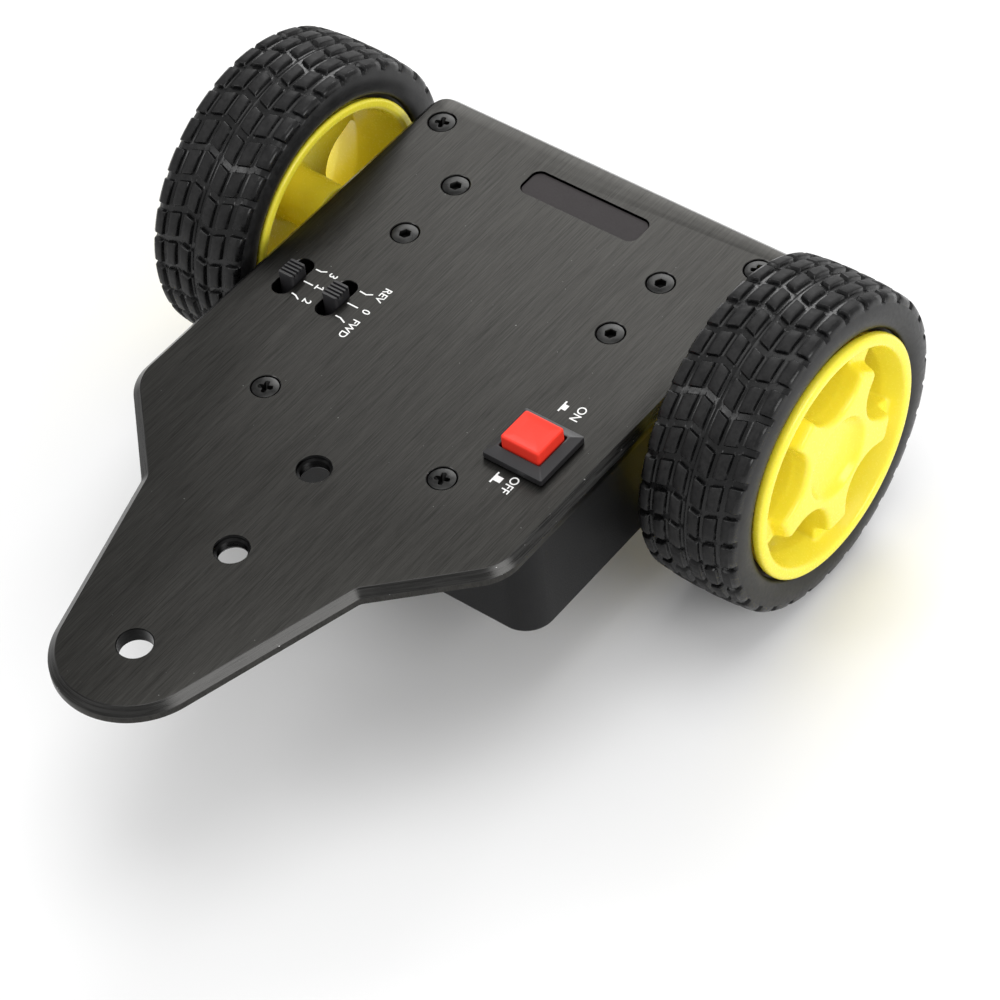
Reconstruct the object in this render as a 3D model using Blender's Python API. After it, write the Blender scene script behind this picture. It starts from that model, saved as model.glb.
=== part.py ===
"""Two-wheel motorised pusher chassis: an anodised deck plate over a battery and motor box.

Everything hangs from the empty chassis_origin, which stands on the floor under the axle.
Sizes are in millimetres in the constants and are turned into metres by MM.
"""

import math

import bmesh
import bpy
from mathutils import Vector

MM = 0.001
GAP = 0.3

# Wheels and axle
TYRE_RADIUS = 32.5
TREAD_INNER, TREAD_OUTER = 47.0, 69.2
SIDEWALL_INNER, SIDEWALL_OUTER = 47.9, 68.0
SHOULDER_RADIUS = 31.4
RIM_SEAT_RADIUS = 23.7
LIP_RADIUS = 24.95
LIP_FACE = 69.4
HUB_FACE = 70.0
HUB_INNER_EDGE = 47.4
SPOKES = 5
SPOKE_HALF_WIDTH = 2.9
SPOKE_TIP = 17.3
NOTCH_RADIUS = 7.9
SPOKE_PHASE = math.radians(-2)
HUB_DISH_RADIUS = 8.6
HUB_DISH_DEPTH = 2.0
COUPLER_RADIUS = 2.7
SHAFT_RADIUS = 1.5

# Deck plate, seen from above, with the axle at y = 0 and the nose towards -Y
DECK_TOP = 45.9
DECK_THICKNESS = 3.0
DECK_CHAMFER = 1.5
DECK_HALF_WIDTH = 43.6
DECK_REAR = 28.9
SHOULDER_LINE = 108.1
NOSE_CENTRE = -113.3
NOSE_RADIUS = 15.5
TAPER_ANGLE = math.radians(-16.8)
DECK_UNDERSIDE = DECK_TOP - DECK_THICKNESS
TRIPOD_HOLES = (-64.0, -87.1)
CLAMP_HOLE_RADIUS = 3.3
THREAD_RADIUS = 2.75
THREAD_MOUTH_RADIUS = 3.3

# Box under the deck
BOX_HALF_WIDTH = 42.5
BOX_FRONT, BOX_REAR = -57.6, 28.0
BOX_BOTTOM = 19.0
BOX_TOP = DECK_UNDERSIDE - GAP
BOX_WALL = 1.8
BOX_FLOOR = 1.6
BOX_CORNER = 6.0
POST_RADIUS = 2.8

# Fasteners
HOUSING_SCREWS = {
    "rear_left": (-37.6, 21.3),
    "rear_right": (37.6, 21.3),
    "front_left": (-20.7, -53.0),
    "front_right": (20.7, -53.0),
}
BRACKET_X = 24.3
BRACKET_SCREW_Y = {"rear": 8.6, "front": -7.1}
SCREW_HEAD_RADIUS = 2.45
SCREW_SHANK_RADIUS = 1.4
COUNTERSINK_RADIUS = 2.85

# Blank nameplate let into the deck
NAMEPLATE_Y = 17.45
NAMEPLATE_SIZE = (27.2, 6.5)
NAMEPLATE_DEPTH = 0.7

# Power push switch
POWER_X, POWER_Y = 30.3, -38.4
BEZEL_SIZE = (13.3, 13.1)
BEZEL_HEIGHT = 1.65
BEZEL_RIM_HEIGHT = 2.3
CAP_SIZE = (8.7, 7.9)
CAP_TOP = 4.7
POWER_SLEEVE_BOTTOM = 39.6

# Slide switches
SLIDE_SWITCHES = {"speed": -34.8, "direction": -24.2}
SLIDE_Y = -27.9
SLOT_SIZE = (4.0, 10.3)
KNOB_SIZE = (3.3, 4.0)
KNOB_TOP = 2.2
SLIDE_BODY_TOP = 40.6

# Gearmotors, measured along the axle from the middle of the cart
GEARBOX_FRONT = 38.0
GEARBOX_REAR = 29.0
MOTOR_REAR = 14.3
MOTOR_HALF_Y, MOTOR_HALF_Z = 6.0, 5.0
TOOTH_MODULE = 0.2
PINION_TEETH, WHEEL_TEETH = 8, 21
GEAR_CENTRES = TOOTH_MODULE * (PINION_TEETH + WHEEL_TEETH) / 2
GEAR_LAYER = 1.5
FIRST_LAYER = 30.5

# Batteries
CELL_RADIUS, CELL_LENGTH = 5.25, 44.5
CELL_PITCH = 11.5
BATTERY_Y = -30.0
CELL_Z = 26.6
TRAY_HALF = (28.4, 19.8)
TRAY_WALL = 1.3
TRAY_BOTTOM, TRAY_TOP = BOX_BOTTOM + BOX_FLOOR + GAP, 33.2
BATTERY_CONTACTS = {
    ("bridge", "left"): (0, 1),
    ("terminal", "left"): (2,),
    ("bridge", "right"): (1, 2),
    ("terminal", "right"): (0,),
}

AXLE_FROM_CENTRE = (TYRE_RADIUS + NOSE_CENTRE - NOSE_RADIUS) / -2


def metres(point):
    return Vector(point) * MM


def clear_scene():
    for obj in list(bpy.data.objects):
        bpy.data.objects.remove(obj, do_unlink=True)


def make_material(name, colour, roughness, metallic=0.0):
    material = bpy.data.materials.new(name)
    material.use_nodes = True
    shader = material.node_tree.nodes["Principled BSDF"]
    shader.inputs["Base Color"].default_value = (*colour, 1.0)
    shader.inputs["Roughness"].default_value = roughness
    shader.inputs["Metallic"].default_value = metallic
    return material


def make_materials():
    return {
        "deck": make_material("anodised_aluminium", (0.07, 0.068, 0.064), 0.4, 0.9),
        "box": make_material("black_abs", (0.012, 0.012, 0.013), 0.35),
        "hub": make_material("yellow_plastic", (0.95, 0.72, 0.02), 0.28),
        "rubber": make_material("black_rubber", (0.016, 0.016, 0.017), 0.6),
        "red": make_material("red_plastic", (0.85, 0.045, 0.03), 0.35),
        "steel": make_material("zinc_steel", (0.45, 0.45, 0.44), 0.3, 1.0),
        "dark_steel": make_material("black_oxide_steel", (0.04, 0.04, 0.04), 0.35, 0.9),
        "brass": make_material("brass", (0.6, 0.42, 0.16), 0.3, 1.0),
        "board": make_material("circuit_board", (0.01, 0.12, 0.05), 0.4),
        "cell": make_material("cell_wrap", (0.35, 0.35, 0.37), 0.35, 0.3),
        "nameplate": make_material("blank_label", (0.05, 0.047, 0.05), 0.5),
    }


def empty(name, location, rotation=(0, 0, 0), parent=None):
    holder = bpy.data.objects.new(name, None)
    holder.location = metres(location)
    holder.rotation_euler = rotation
    holder.parent = parent
    bpy.context.scene.collection.objects.link(holder)
    return holder


def add_mesh(name, mesh_builder, material, parent, location=(0, 0, 0)):
    """Makes an object from a bmesh in millimetres and places it under its parent."""
    bmesh.ops.remove_doubles(mesh_builder, verts=mesh_builder.verts, dist=1e-5)
    bmesh.ops.recalc_face_normals(mesh_builder, faces=mesh_builder.faces)
    for vertex in mesh_builder.verts:
        vertex.co *= MM
    mesh = bpy.data.meshes.new(name)
    mesh_builder.to_mesh(mesh)
    mesh_builder.free()
    mesh.shade_smooth()
    mesh.set_sharp_from_angle(angle=math.radians(35))
    obj = bpy.data.objects.new(name, mesh)
    if material:
        mesh.materials.append(material)
    obj.parent = parent
    obj.location = metres(location)
    bpy.context.scene.collection.objects.link(obj)
    return obj


def filleted(corners, segments):
    """Rounds a closed outline. Each corner is (x, y, radius), and segments is the steps in its arc."""
    outline = []
    for index, (x, y, radius) in enumerate(corners):
        here = Vector((x, y))
        back = (Vector(corners[index - 1][:2]) - here).normalized()
        ahead = (Vector(corners[(index + 1) % len(corners)][:2]) - here).normalized()
        if radius <= 0:
            outline.append((x, y))
            continue
        half_angle = back.angle(ahead) / 2
        centre = here + (back + ahead).normalized() * radius / math.sin(half_angle)
        first = here + back * radius / math.tan(half_angle) - centre
        turn = first.angle_signed(here + ahead * radius / math.tan(half_angle) - centre)
        for step in range(segments + 1):
            angle = -turn * step / segments
            outline.append(
                (
                    centre.x + first.x * math.cos(angle) - first.y * math.sin(angle),
                    centre.y + first.x * math.sin(angle) + first.y * math.cos(angle),
                )
            )
    return outline


def rectangle(size_x, size_y, radius, segments=3, centre=(0, 0)):
    x, y = size_x / 2, size_y / 2
    corners = [(x, y, radius), (-x, y, radius), (-x, -y, radius), (x, -y, radius)]
    return [(px + centre[0], py + centre[1]) for px, py in filleted(corners, segments)]


def circle(radius, sides):
    angles = [math.tau * step / sides for step in range(sides)]
    return [(radius * math.cos(angle), radius * math.sin(angle)) for angle in angles]


def stack(levels):
    """A closed solid through outlines of equal length. levels is a list of (outline, z)."""
    solid = bmesh.new()
    rings = [[solid.verts.new((x, y, z)) for x, y in outline] for outline, z in levels]
    for lower, upper in zip(rings, rings[1:]):
        for index in range(len(lower)):
            following = (index + 1) % len(lower)
            solid.faces.new((lower[index], lower[following], upper[following], upper[index]))
    solid.faces.new(rings[0][::-1])
    solid.faces.new(rings[-1])
    return solid


def prism(outline, bottom, top):
    return stack([(outline, bottom), (outline, top)])


def turned(profile, sides, closed=False):
    """A solid of revolution about Z. profile is a list of (radius, z) points."""
    solid = bmesh.new()
    points = [solid.verts.new((radius, 0, z)) for radius, z in profile]
    pairs = list(zip(points, points[1:]))
    if closed:
        pairs.append((points[-1], points[0]))
    edges = [solid.edges.new(pair) for pair in pairs]
    bmesh.ops.spin(
        solid,
        geom=points + edges,
        axis=(0, 0, 1),
        cent=(0, 0, 0),
        angle=math.tau,
        steps=sides,
        use_merge=True,
    )
    return solid


def cone(bottom_radius, top_radius, bottom, top, sides=20):
    return stack([(circle(bottom_radius, sides), bottom), (circle(top_radius, sides), top)])


def apply_shape(obj, solid, operation, location=(0, 0, 0)):
    """Cuts or joins a helper solid. The helper sits in the same parent space as the object."""
    count = len(obj.modifiers)
    helper = add_mesh(f"{obj.name}_{operation.lower()}_{count}", solid, None, obj.parent, location)
    helper.hide_render = True
    helper.hide_viewport = False
    helper.display_type = "WIRE"
    modifier = obj.modifiers.new(f"{operation.lower()}_{count}", "BOOLEAN")
    modifier.operation = operation
    modifier.object = helper
    return helper


def cut(obj, solid, location=(0, 0, 0)):
    return apply_shape(obj, solid, "DIFFERENCE", location)


def join(obj, solid, location=(0, 0, 0)):
    return apply_shape(obj, solid, "UNION", location)


def deck_outline(inset):
    """The deck's outline, moved inwards by inset."""
    half = DECK_HALF_WIDTH - inset
    rear = DECK_REAR - inset
    diagonal = SHOULDER_LINE - inset * math.sqrt(2)
    nose = NOSE_RADIUS - inset
    normal_x, normal_y = math.cos(TAPER_ANGLE), math.sin(TAPER_ANGLE)
    waist_y = (nose + normal_y * NOSE_CENTRE - normal_x * diagonal) / (normal_x + normal_y)
    waist_x = waist_y + diagonal
    right_side = [
        (half, rear, 4.0 - inset),
        (half, half - diagonal, 10.0 - inset),
        (waist_x, waist_y, 2.5 + inset),
        (nose * normal_x, NOSE_CENTRE + nose * normal_y, 0),
    ]
    left_side = [(-x, y, radius) for x, y, radius in reversed(right_side)]
    steps = 14
    sweep = math.pi + 2 * TAPER_ANGLE
    nose_arc = []
    for step in range(1, steps):
        angle = TAPER_ANGLE - sweep * step / steps
        nose_arc.append((nose * math.cos(angle), NOSE_CENTRE + nose * math.sin(angle), 0))
    return filleted(right_side + nose_arc + left_side, 4)


def make_deck(materials, chassis):
    edge = DECK_TOP - DECK_CHAMFER
    levels = [
        (deck_outline(0), DECK_UNDERSIDE),
        (deck_outline(0), edge),
        (deck_outline(DECK_CHAMFER), DECK_TOP),
    ]
    deck = add_mesh("top_plate", stack(levels), materials["deck"], chassis)
    through = (DECK_UNDERSIDE - 1, DECK_TOP + 1)
    screws = list(HOUSING_SCREWS.values())
    for side in (-1, 1):
        screws += [(side * BRACKET_X, y) for y in BRACKET_SCREW_Y.values()]
    mouth = circle(COUNTERSINK_RADIUS, 16)
    for x, y in screws:
        seat = [(circle(1.6, 16), DECK_TOP - 1.75), (mouth, DECK_TOP - 0.5), (mouth, DECK_TOP + 1)]
        cut(deck, stack(seat), (x, y, 0))
        cut(deck, cone(1.75, 1.75, *through, 12), (x, y, 0))
    for y in TRIPOD_HOLES:
        cut(deck, cone(THREAD_RADIUS, THREAD_RADIUS, *through, 20), (0, y, 0))
        mouth_hole = cone(THREAD_MOUTH_RADIUS, THREAD_MOUTH_RADIUS, DECK_TOP - 0.8, DECK_TOP + 1, 20)
        cut(deck, mouth_hole, (0, y, 0))
    cut(deck, cone(CLAMP_HOLE_RADIUS, CLAMP_HOLE_RADIUS, *through, 20), (0, NOSE_CENTRE, 0))
    for x in SLIDE_SWITCHES.values():
        cut(deck, prism(rectangle(*SLOT_SIZE, 1.9, 4), *through), (x, SLIDE_Y, 0))
    opening = [size - 1.7 for size in BEZEL_SIZE]
    cut(deck, prism(rectangle(*opening, 0), *through), (POWER_X, POWER_Y, 0))
    recess = [size + 2 * 0.2 for size in NAMEPLATE_SIZE]
    pocket = prism(rectangle(*recess, 2.0), DECK_TOP - NAMEPLATE_DEPTH, DECK_TOP + 1)
    cut(deck, pocket, (0, NAMEPLATE_Y, 0))
    plate = prism(rectangle(*NAMEPLATE_SIZE, 1.8), DECK_TOP - NAMEPLATE_DEPTH + 0.2, DECK_TOP - 0.2)
    add_mesh("nameplate", plate, materials["nameplate"], chassis, (0, NAMEPLATE_Y, 0))


def box_outline(inset):
    size_y = BOX_REAR - BOX_FRONT - 2 * inset
    centre = (0, (BOX_REAR + BOX_FRONT) / 2)
    return rectangle(2 * (BOX_HALF_WIDTH - inset), size_y, BOX_CORNER - inset, 5, centre)


def make_box(materials, chassis):
    levels = [(box_outline(0.6), BOX_BOTTOM), (box_outline(0), BOX_BOTTOM + 0.6), (box_outline(0), BOX_TOP)]
    box = add_mesh("housing", stack(levels), materials["box"], chassis)
    cut(box, prism(box_outline(BOX_WALL), BOX_BOTTOM + BOX_FLOOR, BOX_TOP + 1))
    for x, y in HOUSING_SCREWS.values():
        join(box, cone(POST_RADIUS, POST_RADIUS, BOX_BOTTOM + 1, BOX_TOP, 16), (x, y, 0))
        cut(box, cone(1.75, 1.75, BOX_TOP - 9, BOX_TOP + 1, 12), (x, y, 0))
    opening = prism(rectangle(2 * (TRAY_HALF[0] - TRAY_WALL), 2 * (TRAY_HALF[1] - TRAY_WALL), 1.5), 17, 23)
    cut(box, opening, (0, BATTERY_Y, 0))
    for side in (-1, 1):
        window = cone(4.0, 4.0, BOX_HALF_WIDTH - 4, BOX_HALF_WIDTH + 2, 24)
        cutter = cut(box, window, (0, 0, TYRE_RADIUS))
        cutter.rotation_euler = (0, side * math.pi / 2, 0)
    door_size = [2 * (half - TRAY_WALL - GAP) for half in TRAY_HALF]
    door_top = BOX_BOTTOM + BOX_FLOOR - 0.2
    door_shape = prism(rectangle(*door_size, 1.2), BOX_BOTTOM, door_top)
    door = add_mesh("battery_door", door_shape, materials["box"], chassis, (0, BATTERY_Y, 0))
    for row in range(3):
        grip = prism(rectangle(14, 0.9, 0.4), BOX_BOTTOM - 1, BOX_BOTTOM + 0.5)
        cut(door, grip, (0, BATTERY_Y - 14 + 2 * row, 0))


def screw_profile(length):
    head, shank = SCREW_HEAD_RADIUS, SCREW_SHANK_RADIUS
    slope = head - shank
    tip = 0.5
    return [
        (0, 0),
        (head, 0),
        (head, -0.2),
        (shank, -0.2 - slope),
        (shank, -length + tip),
        (shank - tip, -length),
        (0, -length),
    ]


def make_screws(materials, chassis):
    """Cross-head screws hold the deck to the box, and hexagon-socket screws hold the brackets."""
    head_z = DECK_TOP - 0.15
    for place, (x, y) in HOUSING_SCREWS.items():
        name = f"housing_screw_{place}"
        where = (x, y, head_z)
        screw = add_mesh(name, turned(screw_profile(10), 16), materials["dark_steel"], chassis, where)
        for quarter in (0, 1):
            wing = prism(rectangle(2.8, 0.7, 0), -1.0, 1.0)
            cutter = cut(screw, wing, where)
            cutter.rotation_euler.z = quarter * math.pi / 2
    for side, label in ((-1, "left"), (1, "right")):
        for place, y in BRACKET_SCREW_Y.items():
            name = f"bracket_screw_{label}_{place}"
            where = (side * BRACKET_X, y, head_z)
            screw = add_mesh(name, turned(screw_profile(6), 16), materials["dark_steel"], chassis, where)
            cut(screw, prism(circle(1.15, 6), -1.2, 1.0), where)


def make_bracket(materials, chassis, side, label):
    """A folded saddle: a flange under the deck and a loop round the motor."""
    name = f"motor_bracket_{label}"
    middle = sum(BRACKET_SCREW_Y.values()) / 2
    flange = prism(rectangle(11, 23.5, 1.5), DECK_UNDERSIDE - GAP - 1.5, DECK_UNDERSIDE - GAP)
    bracket = add_mesh(name, flange, materials["steel"], chassis, (side * BRACKET_X, middle, 0))
    inner_y, inner_z = MOTOR_HALF_Y + GAP, MOTOR_HALF_Z + GAP
    wall = 1.2
    for leg in (-1, 1):
        leg_y = leg * (inner_y + wall / 2)
        shape = prism(rectangle(9, wall, 0), TYRE_RADIUS - inner_z - wall / 2, DECK_UNDERSIDE - GAP - 0.7)
        join(bracket, shape, (side * BRACKET_X, leg_y, 0))
    strap = prism(rectangle(9, 2 * inner_y + wall, 0), TYRE_RADIUS - inner_z - wall, TYRE_RADIUS - inner_z)
    join(bracket, strap, (side * BRACKET_X, 0, 0))
    clamp = prism(rectangle(9, 2 * inner_y + wall, 0), TYRE_RADIUS + inner_z, TYRE_RADIUS + inner_z + wall)
    join(bracket, clamp, (side * BRACKET_X, 0, 0))
    for y in BRACKET_SCREW_Y.values():
        cut(bracket, cone(1.7, 1.7, DECK_UNDERSIDE - 4, DECK_UNDERSIDE + 1, 16), (side * BRACKET_X, y, 0))


def gear(teeth, bottom, top):
    """A spur gear whose tips stay on the pitch circle, so that meshing wheels never overlap."""
    tip = TOOTH_MODULE * teeth / 2 - 0.02
    root = tip - 1.4 * TOOTH_MODULE
    outline = []
    for tooth in range(teeth):
        for radius, share in ((root, 0.1), (tip, 0.45), (tip, 0.75)):
            angle = math.tau * (tooth + share) / teeth
            outline.append((radius * math.cos(angle), radius * math.sin(angle)))
    return prism(outline, bottom, top)


def make_gear_train(materials, axle, motor_axis, layshaft, label):
    """Four stages between the motor pinion and the output shaft, on two parallel axes."""
    face = GEAR_LAYER - GAP
    levels = [FIRST_LAYER + GEAR_LAYER * step for step in range(4)]
    holders = {"first": layshaft, "second": motor_axis, "third": layshaft}
    for stage, (ordinal, holder) in enumerate(holders.items()):
        bottom = levels[stage]
        disc = gear(WHEEL_TEETH, bottom, bottom + face)
        wheel = add_mesh(f"gear_{ordinal}_{label}", disc, materials["brass"], holder)
        join(wheel, gear(PINION_TEETH, bottom + face / 2, levels[stage + 1] + face))
        cut(wheel, cone(0.38, 0.38, bottom - 1, bottom + 2 * GEAR_LAYER + 1, 10))
    output = levels[3]
    spindle = [(0, levels[1] - 0.2), (0.2, levels[1] - 0.2), (0.2, output + 0.3)]
    profile = spindle + [(SHAFT_RADIUS, output + 0.3)]
    profile += [(SHAFT_RADIUS, 56.0), (SHAFT_RADIUS - 0.3, 56.3), (0, 56.3)]
    shaft = add_mesh(f"output_shaft_{label}", turned(profile, 16), materials["steel"], axle)
    join(shaft, gear(WHEEL_TEETH, output, output + face))
    flat = prism(rectangle(4, 4, 0, centre=(SHAFT_RADIUS - 0.5 + 2, 0)), 40.0, 58.0)
    cut(shaft, flat)


def make_motor(materials, axle, motor_axis, layshaft, label):
    """The plates and posts of the gearbox, the motor's can and end cap, and its rotor."""
    block = rectangle(2 * MOTOR_HALF_Z, 2 * MOTOR_HALF_Y, 0.5)
    front_plate = prism(block, GEARBOX_FRONT - 1.2, GEARBOX_FRONT)
    frame = add_mesh(f"gearbox_frame_{label}", front_plate, materials["brass"], axle)
    join(frame, prism(block, GEARBOX_REAR, GEARBOX_REAR + 1.0))
    for x, y in ((3.9, 4.9), (-3.9, 4.9)):
        join(frame, cone(0.8, 0.8, GEARBOX_REAR + 0.5, GEARBOX_FRONT - 0.5, 10), (x, y, 0))
    join(frame, cone(0.2, 0.2, GEARBOX_REAR + 0.5, GEARBOX_FRONT - 0.5, 8), (0, -GEAR_CENTRES, 0))
    cut(frame, cone(SHAFT_RADIUS + GAP, SHAFT_RADIUS + GAP, GEARBOX_FRONT - 3, GEARBOX_FRONT + 1, 20))
    cut(frame, cone(1.2, 1.2, GEARBOX_REAR - 1, GEARBOX_REAR + 1.3, 12))

    can_outline = rectangle(2 * MOTOR_HALF_Z, 2 * MOTOR_HALF_Y, 3.5, 4)
    tube = prism(can_outline, MOTOR_REAR, GEARBOX_REAR - GAP)
    can = add_mesh(f"motor_can_{label}", tube, materials["steel"], axle)
    hollow = rectangle(2 * MOTOR_HALF_Z - 1.6, 2 * MOTOR_HALF_Y - 1.6, 2.7, 4)
    cut(can, prism(hollow, MOTOR_REAR - 1, GEARBOX_REAR - GAP - 0.8))
    cut(can, cone(1.2, 1.2, GEARBOX_REAR - 3, GEARBOX_REAR + 1, 12))
    cap = prism(can_outline, MOTOR_REAR - GAP - 1.4, MOTOR_REAR - GAP)
    end_cap = add_mesh(f"motor_cap_{label}", cap, materials["hub"], axle)
    cut(end_cap, cone(0.9, 0.9, MOTOR_REAR - 4, MOTOR_REAR + 1, 12))

    first = FIRST_LAYER + GEAR_LAYER - GAP
    profile = [(0, 13.4), (0.5, 13.4), (0.5, 15.2), (1.5, 15.2), (1.5, 17.4), (0.5, 17.4), (0.5, 18.2)]
    profile += [(3.4, 18.2), (3.4, 26.4), (0.5, 26.4), (0.5, first), (0, first)]
    rotor = add_mesh(f"motor_rotor_{label}", turned(profile, 12), materials["dark_steel"], motor_axis)
    join(rotor, gear(PINION_TEETH, FIRST_LAYER, first - 0.02))


def star_outline(tip, half_width):
    corners = []
    for spoke in range(SPOKES):
        angle = SPOKE_PHASE + math.tau * spoke / SPOKES
        along = Vector((math.cos(angle), math.sin(angle)))
        across = Vector((-along.y, along.x))
        for edge in (-1, 1):
            corner = along * tip + across * edge * half_width
            corners.append((corner.x, corner.y, 0.8))
        notch_angle = angle + math.pi / SPOKES
        distance = half_width / math.sin(math.pi / SPOKES)
        notch = (distance * math.cos(notch_angle), distance * math.sin(notch_angle))
        corners.append((*notch, NOTCH_RADIUS))
    return filleted(corners, 3)


def make_wheel(materials, axle, label):
    rim = [
        (RIM_SEAT_RADIUS, HUB_INNER_EDGE + 1.2),
        (RIM_SEAT_RADIUS, SIDEWALL_OUTER - 0.2),
        (LIP_RADIUS, SIDEWALL_OUTER - 0.1),
        (LIP_RADIUS, LIP_FACE - 0.4),
        (LIP_RADIUS - 0.5, LIP_FACE),
        (22.3, LIP_FACE),
        (20.6, 65.2),
        (20.2, 60.0),
        (21.3, HUB_INNER_EDGE + 0.4),
        (22.0, HUB_INNER_EDGE),
        (24.1, HUB_INNER_EDGE),
        (24.5, HUB_INNER_EDGE + 0.4),
        (24.5, HUB_INNER_EDGE + 1.1),
    ]
    hub = add_mesh(f"wheel_hub_{label}", turned(rim, 40, closed=True), materials["hub"], axle)
    join(hub, prism(star_outline(21.3, SPOKE_HALF_WIDTH + 0.2), 64.0, 67.0))
    join(hub, prism(star_outline(SPOKE_TIP, SPOKE_HALF_WIDTH), 66.0, HUB_FACE))
    join(hub, cone(5.4, 5.8, 49.0, 65.0, 16))
    dish = cone(HUB_DISH_RADIUS - 1.4, HUB_DISH_RADIUS + 0.7, HUB_FACE - HUB_DISH_DEPTH, HUB_FACE + 1, 24)
    cut(hub, dish)
    cut(hub, cone(COUPLER_RADIUS + GAP, COUPLER_RADIUS + GAP, 47.0, 60.3, 16))

    seat = RIM_SEAT_RADIUS + GAP
    tyre = [
        (seat, 49.1),
        (24.9, 48.3),
        (28.0, SIDEWALL_INNER - 0.4),
        (SHOULDER_RADIUS, TREAD_INNER),
        (TYRE_RADIUS - 0.3, TREAD_INNER + 0.9),
        (TYRE_RADIUS, TREAD_INNER + 3),
        (TYRE_RADIUS, TREAD_OUTER - 3),
        (TYRE_RADIUS - 0.3, TREAD_OUTER - 0.9),
        (SHOULDER_RADIUS, TREAD_OUTER),
        (28.0, SIDEWALL_OUTER + 0.4),
        (LIP_RADIUS + GAP, SIDEWALL_OUTER - 0.6),
        (seat, SIDEWALL_OUTER - 0.6),
    ]
    add_mesh(f"tyre_{label}", turned(tyre, 40, closed=True), materials["rubber"], axle)

    coupler_profile = [
        (SHAFT_RADIUS + GAP, 43.4),
        (4.2, 43.4),
        (4.2, 44.6),
        (COUPLER_RADIUS, 44.6),
        (COUPLER_RADIUS, 59.7),
        (0, 59.7),
        (0, 56.7),
        (SHAFT_RADIUS + GAP, 56.7),
    ]
    add_mesh(f"wheel_coupler_{label}", turned(coupler_profile, 16, closed=True), materials["brass"], axle)


def make_drive(materials, chassis):
    for side, label in ((-1, "left"), (1, "right")):
        outwards = (0, side * math.pi / 2, 0)
        axle = empty(f"axle_{label}", (0, 0, TYRE_RADIUS), outwards, chassis)
        motor_axis = empty(f"motor_axis_{label}", (0, 0, TYRE_RADIUS), outwards, chassis)
        layshaft = empty(f"layshaft_{label}", (0, -GEAR_CENTRES, TYRE_RADIUS), outwards, chassis)
        make_bracket(materials, chassis, side, label)
        make_motor(materials, axle, motor_axis, layshaft, label)
        make_gear_train(materials, axle, motor_axis, layshaft, label)
        make_wheel(materials, axle, label)
        bush = [(1.8, 38.4), (3.7, 38.4), (3.7, 42.9), (1.8, 42.9)]
        add_mesh(f"axle_bush_{label}", turned(bush, 16, closed=True), materials["brass"], axle)


def make_power_switch(materials, chassis):
    outer = rectangle(*BEZEL_SIZE, 0.3, 2)
    ring = [size - 1.6 for size in BEZEL_SIZE]
    base = DECK_TOP + 0.15
    levels = [
        (outer, base),
        (outer, DECK_TOP + BEZEL_HEIGHT),
        (rectangle(*ring, 0.3, 2), DECK_TOP + BEZEL_RIM_HEIGHT),
    ]
    where = (POWER_X, POWER_Y, 0)
    bezel = add_mesh("power_bezel", stack(levels), materials["box"], chassis, where)
    sleeve = [size - 2.3 for size in BEZEL_SIZE]
    join(bezel, prism(rectangle(*sleeve, 0), POWER_SLEEVE_BOTTOM, DECK_TOP + 1), where)
    bore = [size + 2 * GAP for size in CAP_SIZE]
    cut(bezel, prism(rectangle(*bore, 0.2, 2), POWER_SLEEVE_BOTTOM - 1, DECK_TOP + 4), where)

    cap_bottom = 42.2
    cap_top = DECK_TOP + CAP_TOP
    crown = [size - 0.5 for size in CAP_SIZE]
    cap = rectangle(*CAP_SIZE, 0.4, 2)
    levels = [(cap, cap_bottom), (cap, cap_top - 0.3), (rectangle(*crown, 0.3, 2), cap_top)]
    add_mesh("power_button", stack(levels), materials["red"], chassis, where)
    underside = POWER_SLEEVE_BOTTOM - GAP - 4.2
    body = prism(rectangle(*sleeve, 0.5, 2), underside, POWER_SLEEVE_BOTTOM - GAP)
    switch = add_mesh("power_switch_body", body, materials["box"], chassis, where)
    for x in (-3, 0, 3):
        terminal = prism(rectangle(0.6, 1.8, 0), underside - 1.2, underside + 1.2)
        join(switch, terminal, (POWER_X + x, POWER_Y, 0))


def make_slide_switches(materials, chassis):
    for name, x in SLIDE_SWITCHES.items():
        where = (x, SLIDE_Y, 0)
        body = prism(rectangle(6.4, 14.0, 0.4, 2), SLIDE_BODY_TOP - 4.0, SLIDE_BODY_TOP)
        shell = add_mesh(f"{name}_switch_body", body, materials["steel"], chassis, where)
        cut(shell, prism(rectangle(3.0, 9.6, 0.3, 2), SLIDE_BODY_TOP - 1.0, SLIDE_BODY_TOP + 1), where)
        bottom, top = SLIDE_BODY_TOP + GAP, DECK_TOP + KNOB_TOP
        block = prism(rectangle(*KNOB_SIZE, 0.4, 2), bottom, top)
        knob = add_mesh(f"{name}_knob", block, materials["box"], chassis, where)
        for groove in (-1, 0, 1):
            notch = prism(rectangle(KNOB_SIZE[0] + 2, 0.45, 0), top - 0.4, top + 1)
            cut(knob, notch, (x, SLIDE_Y + groove * 0.98, 0))


def make_electronics(materials, chassis):
    middle_x = sum(SLIDE_SWITCHES.values()) / 2
    top = SLIDE_BODY_TOP - 4.0 - GAP
    board_shape = prism(rectangle(20.5, 26, 1.0), top - 1.2, top)
    board = add_mesh("control_board", board_shape, materials["board"], chassis, (middle_x, SLIDE_Y, 0))
    chips = (((-4, -7), (5, 6, 1.0)), ((4, 6), (6, 4, 1.2)), ((-6, 8), (3, 3, 1.0)))
    for (x, y), (size_x, size_y, height) in chips:
        chip = prism(rectangle(size_x, size_y, 0), top - 1.2 - height, top - 0.6)
        join(board, chip, (middle_x + x, SLIDE_Y + y, 0))


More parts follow.
